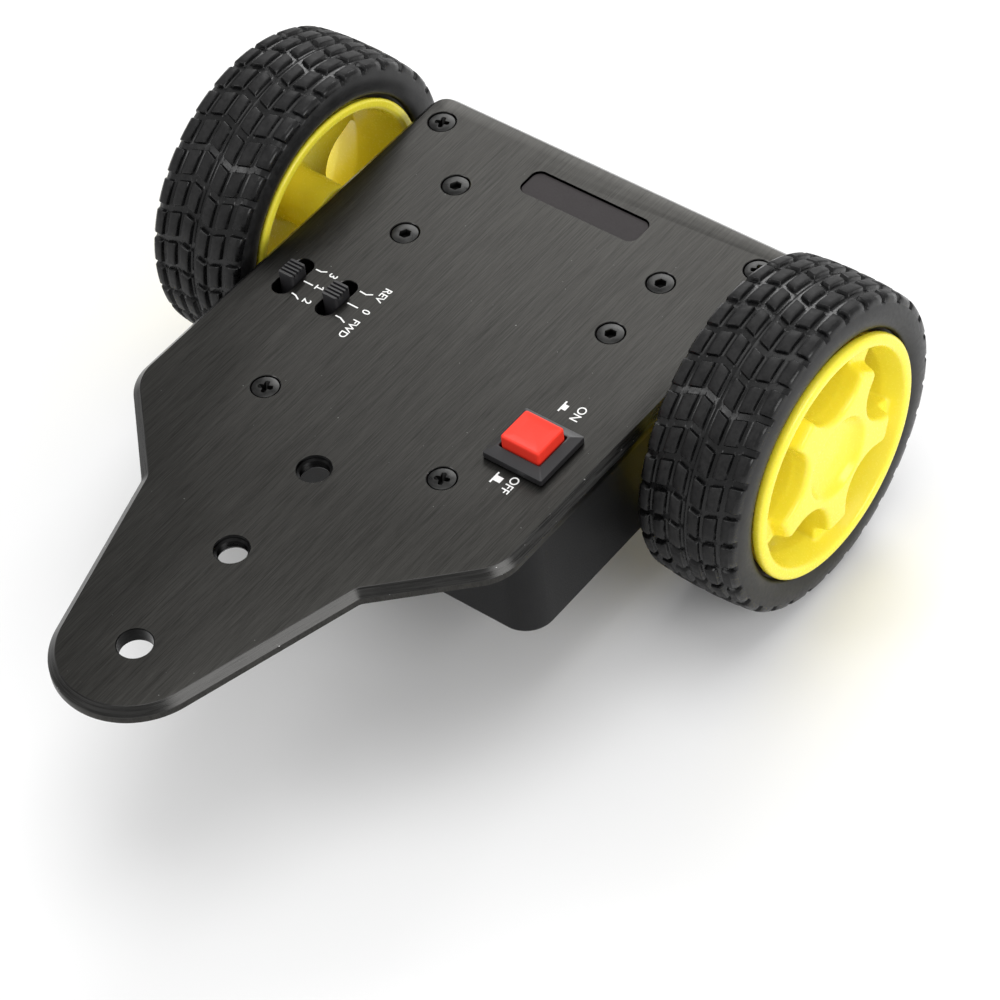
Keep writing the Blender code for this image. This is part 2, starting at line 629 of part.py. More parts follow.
def make_batteries(materials, chassis):
    centre = (0, BATTERY_Y, 0)
    shell = prism(rectangle(2 * TRAY_HALF[0], 2 * TRAY_HALF[1], 2.0), TRAY_BOTTOM, TRAY_TOP)
    tray = add_mesh("battery_holder", shell, materials["box"], chassis, centre)
    inner = rectangle(2 * (TRAY_HALF[0] - TRAY_WALL), 2 * (TRAY_HALF[1] - TRAY_WALL), 0.7)
    cut(tray, prism(inner, TRAY_BOTTOM - 1, TRAY_TOP - TRAY_WALL), centre)
    half = CELL_LENGTH / 2
    profile = [
        (0, -half + 0.4),
        (CELL_RADIUS - 0.6, -half + 0.4),
        (CELL_RADIUS, -half + 0.8),
        (CELL_RADIUS, half - 1.8),
        (CELL_RADIUS - 0.6, half - 1.3),
        (1.9, half - 1.3),
        (1.9, half),
        (0, half),
    ]
    for index in range(3):
        y = BATTERY_Y + (index - 1) * CELL_PITCH
        where = (0, y, CELL_Z)
        cell = add_mesh(f"battery_cell_{index + 1}", turned(profile, 16), materials["cell"], chassis, where)
        flip = -1 if index == 1 else 1
        cell.rotation_euler = (0, flip * math.pi / 2, 0)
    for (kind, label), cells in BATTERY_CONTACTS.items():
        side = -1 if label == "left" else 1
        middle = BATTERY_Y + (sum(cells) / len(cells) - 1) * CELL_PITCH
        width = CELL_PITCH * len(cells) - 2.5
        strip = prism(rectangle(0.5, width, 0), CELL_Z - 4, CELL_Z + 4)
        x = side * (half + 4.2)
        name = f"battery_contact_{kind}_{label}"
        contact = add_mesh(name, strip, materials["steel"], chassis, (x, middle, 0))
        for cell in cells:
            y = BATTERY_Y + (cell - 1) * CELL_PITCH
            bump = join(contact, cone(2.6, 1.6, -0.2, 3.6, 10), (x, y, CELL_Z))
            bump.rotation_euler = (0, -side * math.pi / 2, 0)


def main():
    clear_scene()
    materials = make_materials()
    chassis = empty("chassis_origin", (0, AXLE_FROM_CENTRE, 0))
    make_deck(materials, chassis)
    make_box(materials, chassis)
    make_screws(materials, chassis)
    make_drive(materials, chassis)
    make_power_switch(materials, chassis)
    make_slide_switches(materials, chassis)
    make_electronics(materials, chassis)
    make_batteries(materials, chassis)


main()
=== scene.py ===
"""Looks of the two-wheel pusher chassis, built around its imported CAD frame.

Shapes are made in millimetres with the wheel axle at y = 0 and the floor at z = 0.
place() moves them into the frame and turns them into metres.
"""

import math

import bmesh
import bpy
from mathutils import Euler, Matrix, Vector


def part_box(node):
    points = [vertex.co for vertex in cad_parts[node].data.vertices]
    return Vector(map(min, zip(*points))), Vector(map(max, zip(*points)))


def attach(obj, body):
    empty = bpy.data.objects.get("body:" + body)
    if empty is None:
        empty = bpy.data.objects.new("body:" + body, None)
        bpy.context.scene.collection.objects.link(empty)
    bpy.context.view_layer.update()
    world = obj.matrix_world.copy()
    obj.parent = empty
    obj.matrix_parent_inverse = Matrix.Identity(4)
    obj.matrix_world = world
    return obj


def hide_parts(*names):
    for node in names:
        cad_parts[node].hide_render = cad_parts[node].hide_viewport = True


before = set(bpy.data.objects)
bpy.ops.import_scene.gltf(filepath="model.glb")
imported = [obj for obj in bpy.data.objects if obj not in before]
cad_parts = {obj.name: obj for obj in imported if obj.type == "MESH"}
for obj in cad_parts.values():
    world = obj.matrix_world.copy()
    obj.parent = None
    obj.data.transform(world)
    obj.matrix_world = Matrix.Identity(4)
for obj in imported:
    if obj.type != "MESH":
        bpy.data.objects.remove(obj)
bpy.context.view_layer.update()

MM = 0.001
tyre_low, tyre_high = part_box("tyre_right")
AXLE_Y = (tyre_low.y + tyre_high.y) / 2 / MM
AXLE_Z = (tyre_low.z + tyre_high.z) / 2 / MM

# Deck plate
DECK_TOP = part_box("top_plate")[1].z / MM
DECK_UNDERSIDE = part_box("top_plate")[0].z / MM
DECK_CHAMFER = 1.5
DECK_HALF_WIDTH = 43.6
DECK_REAR = 28.9
SHOULDER_LINE = 108.1
NOSE_CENTRE = -113.3
NOSE_RADIUS = 15.5
TAPER_ANGLE = math.radians(-16.8)
LEVEL_NORMAL = 0.97
TRIPOD_HOLES = (-64.0, -87.1)
HOUSING_SCREWS = {
    "rear_left": (-37.6, 21.3),
    "rear_right": (37.6, 21.3),
    "front_left": (-20.7, -53.0),
    "front_right": (20.7, -53.0),
}
BRACKET_SCREWS = {
    "left_rear": (-24.3, 8.6),
    "left_front": (-24.3, -7.1),
    "right_rear": (24.3, 8.6),
    "right_front": (24.3, -7.1),
}
CROSS_TURN = math.radians(20)
NAMEPLATE_Y = 17.45
NAMEPLATE_SIZE = (27.2, 6.5)

# Box
BOX_HALF_WIDTH = 42.5
BOX_FRONT, BOX_REAR = -57.6, 28.0
BOX_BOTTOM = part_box("housing")[0].z / MM
BOX_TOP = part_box("housing")[1].z / MM
BOX_CORNER = 6.0
BOX_WALL = 1.8
BOX_FLOOR = 1.6
POST_RADIUS = 2.8
DOOR_OPENING = (54.2, 37.0)
DOOR_Y = -30
AXLE_WINDOW_RADIUS = 4.0

# Switches
POWER_X, POWER_Y = 30.3, -38.4
BEZEL_SIZE = (13.3, 13.1)
BEZEL_LIFT = 0.15
SLEEVE_BOTTOM = 39.6
WELL_BOTTOM = 38.0
CAP_SIZE = (8.7, 7.9)
CAP_BOTTOM = 42.2
CAP_HEIGHT = 4.7
KNOB_BOTTOM = 40.9
KNOB_HEIGHT = 2.2
RIDGE_PITCH = 0.86
SLIDERS = {"speed": -34.8, "direction": -24.2}
SLIDE_Y = -27.9

# Wheels, with x measured outwards from the middle of the cart
TYRE_MIDDLE = 58.1
TYRE_RADIUS = 32.5
BLOCK_HEIGHT = 0.9
BLOCK_ROWS = 31
ROW_GAP = 2.6
ROW_START = 128.0
BLOCK_RADIUS = 30.6
SIDEWALL_RADIUS = 30.5
HUB_FACE = 70.0
SPOKES = 5
SPOKE_HALF_WIDTH = 2.9
SPOKE_TIP = 17.3
NOTCH_RADIUS = 7.9
SPOKE_PHASE = math.radians(-2)
SPOKE_BACK = 60.5
SPOKE_STEP = 66.8
SPOKE_ROOT = 21.4
VOXEL = 0.3


# ---------------------------------------------------------------- materials

def new_material(name, colour, roughness, metallic=0.0, **sockets):
    material = bpy.data.materials.new(name)
    material.use_nodes = True
    shader = material.node_tree.nodes["Principled BSDF"]
    shader.inputs["Base Color"].default_value = (*colour, 1.0)
    shader.inputs["Roughness"].default_value = roughness
    shader.inputs["Metallic"].default_value = metallic
    for socket, value in sockets.items():
        shader.inputs[socket.replace("_", " ")].default_value = value
    return material


def shader_of(material):
    return material.node_tree.nodes["Principled BSDF"]


def noise(material, frequency, detail=3.0, roughness=0.55, distortion=0.0):
    """Noise over the object's own coordinates, with frequency in cycles per metre on each axis."""
    nodes, links = material.node_tree.nodes, material.node_tree.links
    coordinates = nodes.new("ShaderNodeTexCoord")
    mapping = nodes.new("ShaderNodeMapping")
    mapping.inputs["Scale"].default_value = frequency
    texture = nodes.new("ShaderNodeTexNoise")
    texture.inputs["Scale"].default_value = 1.0
    texture.inputs["Detail"].default_value = detail
    texture.inputs["Roughness"].default_value = roughness
    texture.inputs["Distortion"].default_value = distortion
    links.new(coordinates.outputs["Object"], mapping.inputs["Vector"])
    links.new(mapping.outputs["Vector"], texture.inputs["Vector"])
    return texture.outputs["Fac"]


def remap(material, value, start, end, low, high):
    node = material.node_tree.nodes.new("ShaderNodeMapRange")
    limits = {"From Min": start, "From Max": end, "To Min": low, "To Max": high}
    for socket, number in limits.items():
        node.inputs[socket].default_value = number
    material.node_tree.links.new(value, node.inputs["Value"])
    return node.outputs["Result"]


def mix_colours(material, factor, first, second):
    """first and second are colours or colour sockets."""
    node = material.node_tree.nodes.new("ShaderNodeMix")
    node.data_type = "RGBA"
    links = material.node_tree.links
    links.new(factor, node.inputs[0])
    for index, colour in ((6, first), (7, second)):
        if isinstance(colour, tuple):
            node.inputs[index].default_value = (*colour, 1.0)
        else:
            links.new(colour, node.inputs[index])
    return node.outputs[2]


def combine(material, operation, first, second):
    node = material.node_tree.nodes.new("ShaderNodeMath")
    node.operation = operation
    for index, value in enumerate((first, second)):
        if isinstance(value, (int, float)):
            node.inputs[index].default_value = value
        else:
            material.node_tree.links.new(value, node.inputs[index])
    return node.outputs[0]


def wire(material, socket, value):
    material.node_tree.links.new(value, shader_of(material).inputs[socket])


def bump(material, height, strength, distance):
    node = material.node_tree.nodes.new("ShaderNodeBump")
    node.inputs["Strength"].default_value = strength
    node.inputs["Distance"].default_value = distance
    material.node_tree.links.new(height, node.inputs["Height"])
    wire(material, "Normal", node.outputs["Normal"])


def even(cycles):
    return (cycles, cycles, cycles)


def brushed_deck(name):
    material = new_material(name, (0.06, 0.06, 0.055), 0.4, 1.0)
    fine = noise(material, (7500, 110, 900), 4.0, 0.8)
    broad = noise(material, (1500, 45, 300), 2.0)
    cloud = noise(material, even(22), 2.0)
    fine_share = combine(material, "MULTIPLY", fine, 0.86)
    broad_share = combine(material, "MULTIPLY", broad, 0.14)
    lines = combine(material, "ADD", fine_share, broad_share)
    shade = remap(material, lines, 0.3, 0.7, 0.0, 1.0)
    metal = mix_colours(material, shade, (0.0190, 0.0186, 0.0175), (0.058, 0.0566, 0.0530))
    speck = remap(material, noise(material, even(1500), 1.0), 0.80, 0.82, 0.0, 1.0)
    wire(material, "Base Color", mix_colours(material, speck, metal, (0.16, 0.16, 0.155)))
    gloss = combine(material, "ADD", fine, cloud)
    wire(material, "Roughness", remap(material, gloss, 0.6, 1.4, 0.27, 0.42))
    bump(material, lines, 0.32, 0.00003)
    return material


def machined_edge(name):
    material = new_material(name, (0.1, 0.1, 0.1), 0.28, 1.0)
    streak = noise(material, (110, 110, 4200), 3.0, 0.65)
    chip = remap(material, noise(material, (700, 700, 1500), 2.0, 0.7), 0.72, 0.76, 0.0, 1.0)
    metal = mix_colours(material, streak, (0.006, 0.006, 0.0058), (0.078, 0.077, 0.075))
    wire(material, "Base Color", mix_colours(material, chip, metal, (0.55, 0.55, 0.54)))
    wire(material, "Roughness", remap(material, streak, 0.3, 0.7, 0.2, 0.36))
    bump(material, streak, 0.2, 0.00003)
    return material


def moulded_plastic(name, colour, roughness, grain=3600, depth=0.25, tint=0.25, **sockets):
    """Moulded plastic with a fine grain, slight mottling and uneven gloss."""
    material = new_material(name, colour, roughness, **sockets)
    mottle = noise(material, even(170), 3.0)
    texture = noise(material, even(grain), 3.0, 0.6)
    darker = tuple(channel * (1 - tint) for channel in colour)
    lighter = tuple(min(1.0, channel * (1 + tint)) for channel in colour)
    wire(material, "Base Color", mix_colours(material, mottle, darker, lighter))
    wire(material, "Roughness", remap(material, texture, 0.3, 0.7, roughness - 0.06, roughness + 0.08))
    bump(material, texture, depth, 0.00004)
    return material


def yellow_plastic(name):
    material = new_material(
        name,
        (0.93, 0.73, 0.02),
        0.24,
        Subsurface_Weight=0.22,
        Subsurface_Radius=(1.0, 0.75, 0.12),
        Subsurface_Scale=0.0022,
        Specular_IOR_Level=0.5,
    )
    flow = noise(material, even(65), 2.0, 0.5, 0.6)
    grain = noise(material, even(1900), 2.0)
    wire(material, "Base Color", mix_colours(material, flow, (0.92, 0.76, 0.030), (0.97, 0.85, 0.075)))
    wire(material, "Roughness", remap(material, grain, 0.3, 0.7, 0.19, 0.30))
    bump(material, flow, 0.06, 0.0006)
    return material


def rubber(name, dark, pale, roughness, grain, depth, specular):
    """Moulded rubber with dust in its grain."""
    material = new_material(name, dark, roughness, Specular_IOR_Level=specular)
    texture = noise(material, even(grain), 4.0, 0.65)
    dust = noise(material, even(240), 4.0, 0.6)
    amount = remap(material, combine(material, "MULTIPLY", texture, dust), 0.16, 0.36, 0.0, 1.0)
    wire(material, "Base Color", mix_colours(material, amount, dark, pale))
    wire(material, "Roughness", remap(material, texture, 0.3, 0.7, roughness - 0.08, roughness + 0.1))
    bump(material, texture, depth, 0.00006)
    return material


def worked_metal(name, dark, pale, roughness, frequency=(500, 500, 3000)):
    """Turned or drawn metal, with tool marks and a patchy tarnish."""
    material = new_material(name, pale, roughness, 1.0)
    marks = noise(material, frequency, 3.0, 0.6)
    patch = noise(material, even(190), 3.0)
    factor = combine(material, "MULTIPLY", marks, remap(material, patch, 0.3, 0.7, 0.6, 1.6))
    wire(material, "Base Color", mix_colours(material, factor, dark, pale))
    wire(material, "Roughness", remap(material, marks, 0.3, 0.7, roughness - 0.08, roughness + 0.1))
    bump(material, marks, 0.15, 0.00003)
    return material


def circuit_board(name):
    material = new_material(name, (0.01, 0.12, 0.05), 0.35)
    nodes, links = material.node_tree.nodes, material.node_tree.links
    coordinates = nodes.new("ShaderNodeTexCoord")
    cells = nodes.new("ShaderNodeTexVoronoi")
    cells.distance = "CHEBYCHEV"
    cells.feature = "F1"
    cells.inputs["Scale"].default_value = 420
    links.new(coordinates.outputs["Object"], cells.inputs["Vector"])
    track = remap(material, cells.outputs["Distance"], 0.42, 0.46, 0.0, 1.0)
    wire(material, "Base Color", mix_colours(material, track, (0.006, 0.075, 0.030), (0.02, 0.19, 0.08)))
    bump(material, track, 0.3, 0.00004)
    return material


MATERIALS = {
    "deck": brushed_deck("brushed_anodised_deck"),
    "edge": machined_edge("machined_deck_edge"),
    "box": moulded_plastic(
        "satin_black_abs",
        (0.0068, 0.0068, 0.0072),
        0.42,
        Specular_IOR_Level=0.15,
    ),
    "switch": moulded_plastic("black_switch_plastic", (0.016, 0.0155, 0.017), 0.42, 2600, 0.2),
    "hub": yellow_plastic("yellow_wheel_plastic"),
    "block": rubber(
        "tread_block_rubber",
        (0.0060, 0.0060, 0.0063),
        (0.0175, 0.0173, 0.0175),
        0.55,
        1500,
        0.6,
        0.2,
    ),
    "groove": rubber(
        "tread_groove_rubber",
        (0.002, 0.002, 0.0022),
        (0.005, 0.005, 0.0054),
        0.27,
        900,
        0.12,
        0.32,
    ),
    "sidewall": rubber(
        "sidewall_rubber",
        (0.006, 0.006, 0.0063),
        (0.016, 0.016, 0.0165),
        0.42,
        1100,
        0.15,
        0.35,
    ),
    "button": moulded_plastic(
        "red_switch_cap",
        (0.84, 0.040, 0.022),
        0.4,
        2400,
        0.1,
        0.08,
        Specular_IOR_Level=0.2,
    ),
    "nameplate": moulded_plastic(
        "blank_panel_film",
        (0.034, 0.030, 0.031),
        0.6,
        2800,
        0.12,
        0.1,
        Specular_IOR_Level=0.15,
    ),
    # walls of the holes and the panel recess: metal darker than the deck, painted shade for the hollows
    "bore": worked_metal("hole_wall_painted_shade_metal", (0.002, 0.002, 0.002), (0.014, 0.014, 0.014), 0.3),
    "screw": worked_metal("black_oxide_steel", (0.008, 0.008, 0.008), (0.050, 0.050, 0.049), 0.32),
    "steel": worked_metal("zinc_plated_steel", (0.30, 0.30, 0.29), (0.62, 0.62, 0.60), 0.3),
    "brass": worked_metal("yellow_brass", (0.40, 0.27, 0.09), (0.72, 0.52, 0.22), 0.28),
    "board": circuit_board("green_circuit_board"),
    "cell": worked_metal(
        "cell_wrap_film",
        (0.12, 0.13, 0.15),
        (0.36, 0.37, 0.40),
        0.32,
        (90, 900, 900),
    ),
    "motor_cap": moulded_plastic("white_nylon_cap", (0.72, 0.71, 0.66), 0.45, 2000, 0.1, 0.08),
    "print": moulded_plastic("white_marking_ink", (0.80, 0.80, 0.79), 0.55, 2600, 0.1, 0.08),
}


# ---------------------------------------------------------------- shapes

def filleted(corners, segments):
    """Rounds a closed outline of (x, y, radius) corners, with segments steps in each arc."""
    outline = []
    for index, (x, y, radius) in enumerate(corners):
        here = Vector((x, y))
        back = (Vector(corners[index - 1][:2]) - here).normalized()
        ahead = (Vector(corners[(index + 1) % len(corners)][:2]) - here).normalized()
        if radius <= 0:
            outline.append((x, y))
            continue
        half_angle = back.angle(ahead) / 2
        centre = here + (back + ahead).normalized() * radius / math.sin(half_angle)
        first = here + back * radius / math.tan(half_angle) - centre
        turn = first.angle_signed(here + ahead * radius / math.tan(half_angle) - centre)
        for step in range(segments + 1):
            angle = -turn * step / segments
            outline.append(
                (
                    centre.x + first.x * math.cos(angle) - first.y * math.sin(angle),
                    centre.y + first.x * math.sin(angle) + first.y * math.cos(angle),
                )
            )
    return outline


def rectangle(size_x, size_y, radius, segments=6, centre=(0, 0)):
    x, y = size_x / 2, size_y / 2
    corners = [(x, y, radius), (-x, y, radius), (-x, -y, radius), (x, -y, radius)]
    return [(px + centre[0], py + centre[1]) for px, py in filleted(corners, segments)]


def circle(radius, sides):
    angles = [math.tau * step / sides for step in range(sides)]
    return [(radius * math.cos(angle), radius * math.sin(angle)) for angle in angles]


def stack(levels):
    """A closed solid through outlines of equal length. levels is a list of (outline, z)."""
    solid = bmesh.new()
    rings = [[solid.verts.new((x, y, z)) for x, y in outline] for outline, z in levels]
    for lower, upper in zip(rings, rings[1:]):
        for index in range(len(lower)):
            following = (index + 1) % len(lower)
            solid.faces.new((lower[index], lower[following], upper[following], upper[index]))
    solid.faces.new(rings[0][::-1])
    solid.faces.new(rings[-1])
    return solid


def prism(outline, bottom, top):
    return stack([(outline, bottom), (outline, top)])


def turned(profile, sides, closed=False):
    """A solid of revolution about Z. profile is a list of (radius, z) points."""
    solid = bmesh.new()
    points = [solid.verts.new((radius, 0, z)) for radius, z in profile]
    pairs = list(zip(points, points[1:]))
    if closed:
        pairs.append((points[-1], points[0]))
    edges = [solid.edges.new(pair) for pair in pairs]
    bmesh.ops.spin(
        solid,
        geom=points + edges,
        axis=(0, 0, 1),
        cent=(0, 0, 0),
        angle=math.tau,
        steps=sides,
        use_merge=True,
    )
    return solid


def shape(name, solid, where=(0, 0, 0), rotation=(0, 0, 0)):
    """An object in millimetres from a bmesh, with its place baked into the mesh."""
    bmesh.ops.remove_doubles(solid, verts=solid.verts, dist=1e-5)
    bmesh.ops.recalc_face_normals(solid, faces=solid.faces)
    mesh = bpy.data.meshes.new(name)
    solid.to_mesh(mesh)
    solid.free()
    mesh.transform(Matrix.Translation(where) @ Euler(rotation).to_matrix().to_4x4())
    obj = bpy.data.objects.new(name, mesh)
    bpy.context.scene.collection.objects.link(obj)
    return obj


def bake(obj):
    """Applies the object's modifiers to its mesh."""
    graph = bpy.context.evaluated_depsgraph_get()
    mesh = bpy.data.meshes.new_from_object(obj.evaluated_get(graph))
    obj.modifiers.clear()
    old = obj.data
    obj.data = mesh
    bpy.data.meshes.remove(old)


def carve(obj, solid, where=(0, 0, 0), rotation=(0, 0, 0), operation="DIFFERENCE"):
    tool = shape("tool", solid, where, rotation)
    modifier = obj.modifiers.new("carve", "BOOLEAN")
    modifier.operation = operation
    modifier.object = tool
    bake(obj)
    bpy.data.objects.remove(tool)


def join(obj, solid, where=(0, 0, 0), rotation=(0, 0, 0)):
    carve(obj, solid, where, rotation, "UNION")


def place(obj, body, nodes=(), finishes=(), sharp=32):
    """Moves a finished shape into the frame, finishes it and lets it ride on its CAD body."""
    obj.data.transform(Matrix.Scale(MM, 4) @ Matrix.Translation((0, AXLE_Y, 0)))
    if finishes:
        kept = [polygon.material_index for polygon in obj.data.polygons]
        obj.data.materials.clear()
        for finish in finishes:
            obj.data.materials.append(MATERIALS[finish])
        for polygon, index in zip(obj.data.polygons, kept):
            polygon.material_index = min(index, len(finishes) - 1)
    obj.data.shade_smooth()
    obj.data.set_sharp_from_angle(angle=math.radians(sharp))
    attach(obj, body)
    if nodes:
        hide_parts(*nodes)
    return obj


# ---------------------------------------------------------------- deck

def deck_outline(inset):
    """The deck's outline, moved inwards by inset."""
    half = DECK_HALF_WIDTH - inset
    rear = DECK_REAR - inset
    diagonal = SHOULDER_LINE - inset * math.sqrt(2)
    nose = NOSE_RADIUS - inset
    normal_x, normal_y = math.cos(TAPER_ANGLE), math.sin(TAPER_ANGLE)
    waist_y = (nose + normal_y * NOSE_CENTRE - normal_x * diagonal) / (normal_x + normal_y)
    waist_x = waist_y + diagonal
    right_side = [
        (half, rear, 4.0 - inset),
        (half, half - diagonal, 10.0 - inset),
        (waist_x, waist_y, 2.5 + inset),
        (nose * normal_x, NOSE_CENTRE + nose * normal_y, 0),
    ]
    left_side = [(-x, y, radius) for x, y, radius in reversed(right_side)]
    steps = 60
    sweep = math.pi + 2 * TAPER_ANGLE
    nose_arc = []
    for step in range(1, steps):
        angle = TAPER_ANGLE - sweep * step / steps
        nose_arc.append((nose * math.cos(angle), NOSE_CENTRE + nose * math.sin(angle), 0))
    return filleted(right_side + nose_arc + left_side, 18)


def deck_finish(polygon):
    """0 for the brushed face, 1 for a machined edge, 2 inside a hole or the panel's recess, where a
    darker metal is painted shade.
    """
    x, y, z = polygon.center
    tilted = abs(polygon.normal.z) < LEVEL_NORMAL
    if tilted and any(math.hypot(x, y - hole) < 3.6 for hole in (*TRIPOD_HOLES, NOSE_CENTRE)):
        return 2
    in_recess = abs(x) < 14.2 and abs(y - NAMEPLATE_Y) < 3.8
    if in_recess and DECK_TOP - 1 < z < DECK_TOP - 0.01:
        return 2
    return 1 if 0.3 < polygon.normal.z < LEVEL_NORMAL else 0


def make_deck():
    edge = DECK_TOP - DECK_CHAMFER
    levels = [
        (deck_outline(0.15), DECK_UNDERSIDE),
        (deck_outline(0), DECK_UNDERSIDE + 0.15),
        (deck_outline(0), edge - 0.06),
        (deck_outline(0.04), edge + 0.06),
        (deck_outline(DECK_CHAMFER - 0.06), DECK_TOP - 0.04),
        (deck_outline(DECK_CHAMFER + 0.08), DECK_TOP),
    ]
    deck = shape("deck_plate", stack(levels))
    over, under = DECK_TOP + 1, DECK_UNDERSIDE - 1
    seat = [
        (0, over),
        (3.0, over),
        (3.0, DECK_TOP + 0.02),
        (2.86, DECK_TOP - 0.1),
        (2.85, DECK_TOP - 0.5),
        (1.75, DECK_TOP - 1.6),
        (1.75, under),
        (0, under),
    ]
    for x, y in (*HOUSING_SCREWS.values(), *BRACKET_SCREWS.values()):
        carve(deck, turned(seat, 48), (x, y, 0))
    thread = [(0, over), (3.42, over), (3.42, DECK_TOP + 0.02), (3.3, DECK_TOP - 0.1)]
    thread += [(3.25, DECK_TOP - 0.7), (2.78, DECK_TOP - 0.95)]
    for turn in range(2):
        level = DECK_TOP - 1.25 - 0.85 * turn
        thread += [(3.12, level), (2.78, level - 0.4)]
    thread += [(3.0, DECK_UNDERSIDE - 0.02), (3.0, under), (0, under)]
    for y in TRIPOD_HOLES:
        carve(deck, turned(thread, 64), (0, y, 0))
    plain = [
        (0, over),
        (3.5, over),
        (3.5, DECK_TOP + 0.02),
        (3.3, DECK_TOP - 0.15),
        (3.3, under),
        (0, under),
    ]
    carve(deck, turned(plain, 64), (0, NOSE_CENTRE, 0))
    for x in SLIDERS.values():
        slot_levels = [
            (rectangle(4.0, 10.3, 1.95, 10), under),
            (rectangle(4.0, 10.3, 1.95, 10), DECK_TOP - 0.12),
            (rectangle(4.2, 10.5, 2.05, 10), DECK_TOP + 0.02),
            (rectangle(4.2, 10.5, 2.05, 10), over),
        ]
        carve(deck, stack(slot_levels), (x, SLIDE_Y, 0))
    opening = [size - 1.7 for size in BEZEL_SIZE]
    carve(deck, prism(rectangle(*opening, 0.3), under, over), (POWER_X, POWER_Y, 0))
    recess = [size + 0.4 for size in NAMEPLATE_SIZE]
    carve(deck, prism(rectangle(*recess, 2.0, 10), DECK_TOP - 0.7, over), (0, NAMEPLATE_Y, 0))
    for polygon in deck.data.polygons:
        polygon.material_index = deck_finish(polygon)
    place(deck, "chassis", ["top_plate"], ["deck", "edge", "bore"], 25)

    size_x, size_y = NAMEPLATE_SIZE
    levels = [
        (rectangle(size_x, size_y, 1.8, 10), DECK_TOP - 0.68),
        (rectangle(size_x, size_y, 1.8, 10), DECK_TOP - 0.5),
        (rectangle(size_x - 0.16, size_y - 0.16, 1.72, 10), DECK_TOP - 0.42),
    ]
    panel = shape("blank_panel", stack(levels), (0, NAMEPLATE_Y, 0))
    place(panel, "chassis", ["nameplate"], ["nameplate"])


def make_screws():
    head_z = DECK_TOP - 0.15
    for place_name, (x, y) in HOUSING_SCREWS.items():
        screw = shape(f"deck_screw_{place_name}", turned(screw_profile(10), 48), (x, y, head_z))
        for quarter in (0, 1):
            wing = [
                (rectangle(1.0, 0.5, 0.15, 2), -1.3),
                (rectangle(2.8, 0.85, 0.25, 2), -0.2),
                (rectangle(3.1, 1.05, 0.35, 2), 0.1),
            ]
            turn = quarter * math.pi / 2 + CROSS_TURN
            carve(screw, stack(wing), (x, y, head_z), (0, 0, turn))
        place(screw, "chassis", [f"housing_screw_{place_name}"], ["screw"])
    for place_name, (x, y) in BRACKET_SCREWS.items():
        screw = shape(f"socket_screw_{place_name}", turned(screw_profile(6), 48), (x, y, head_z))
        socket = [(circle(1.0, 6), -1.3), (circle(1.15, 6), -0.15), (circle(1.3, 6), 0.05)]
        carve(screw, stack(socket), (x, y, head_z))
        place(screw, "chassis", [f"bracket_screw_{place_name}"], ["screw"])


def screw_profile(length):
    """A countersunk head with a rolled rim, and a threaded shank."""
    profile = [(0, 0), (2.44, 0), (2.57, -0.05), (2.62, -0.14), (2.58, -0.24), (1.4, -1.4)]
    level = -1.65
    while level > -length + 0.9:
        profile += [(1.2, level), (1.4, level - 0.25)]
        level -= 0.5
    return profile + [(0.9, -length), (0, -length)]


# ---------------------------------------------------------------- box

def box_outline(inset, segments=16):
    centre = (0, (BOX_REAR + BOX_FRONT) / 2)
    size_y = BOX_REAR - BOX_FRONT - 2 * inset
    return rectangle(2 * (BOX_HALF_WIDTH - inset), size_y, BOX_CORNER - inset, segments, centre)


def make_box():
    levels = []
    for step in range(6):
        angle = math.pi / 2 * step / 5
        levels.append((box_outline(1 - math.sin(angle)), BOX_BOTTOM + 1 - math.cos(angle)))
    levels += [(box_outline(0), BOX_TOP - 0.2), (box_outline(0.2), BOX_TOP)]
    box = shape("box_shell", stack(levels))
    carve(box, prism(box_outline(BOX_WALL), BOX_BOTTOM + BOX_FLOOR, BOX_TOP + 1))
    foot, bore_end, mouth = BOX_BOTTOM + 1, BOX_TOP - 9, BOX_TOP + 0.1
    post = [(0, foot), (POST_RADIUS, foot), (POST_RADIUS, BOX_TOP), (0, BOX_TOP)]
    bore = [(0, bore_end), (1.5, bore_end), (1.5, BOX_TOP - 0.4), (1.8, mouth), (0, mouth)]
    for x, y in HOUSING_SCREWS.values():
        join(box, turned(post, 32), (x, y, 0))
        carve(box, turned(bore, 24), (x, y, 0))
    door = prism(rectangle(*DOOR_OPENING, 1.5), BOX_BOTTOM - 2, BOX_BOTTOM + 4)
    carve(box, door, (0, DOOR_Y, 0))
    for side in (-1, 1):
        window = [(circle(AXLE_WINDOW_RADIUS, 48), -4), (circle(AXLE_WINDOW_RADIUS, 48), 2)]
        carve(box, stack(window), (side * BOX_HALF_WIDTH, 0, AXLE_Z), (0, side * math.pi / 2, 0))
    place(box, "chassis", ["housing"], ["box"])


# ---------------------------------------------------------------- switches

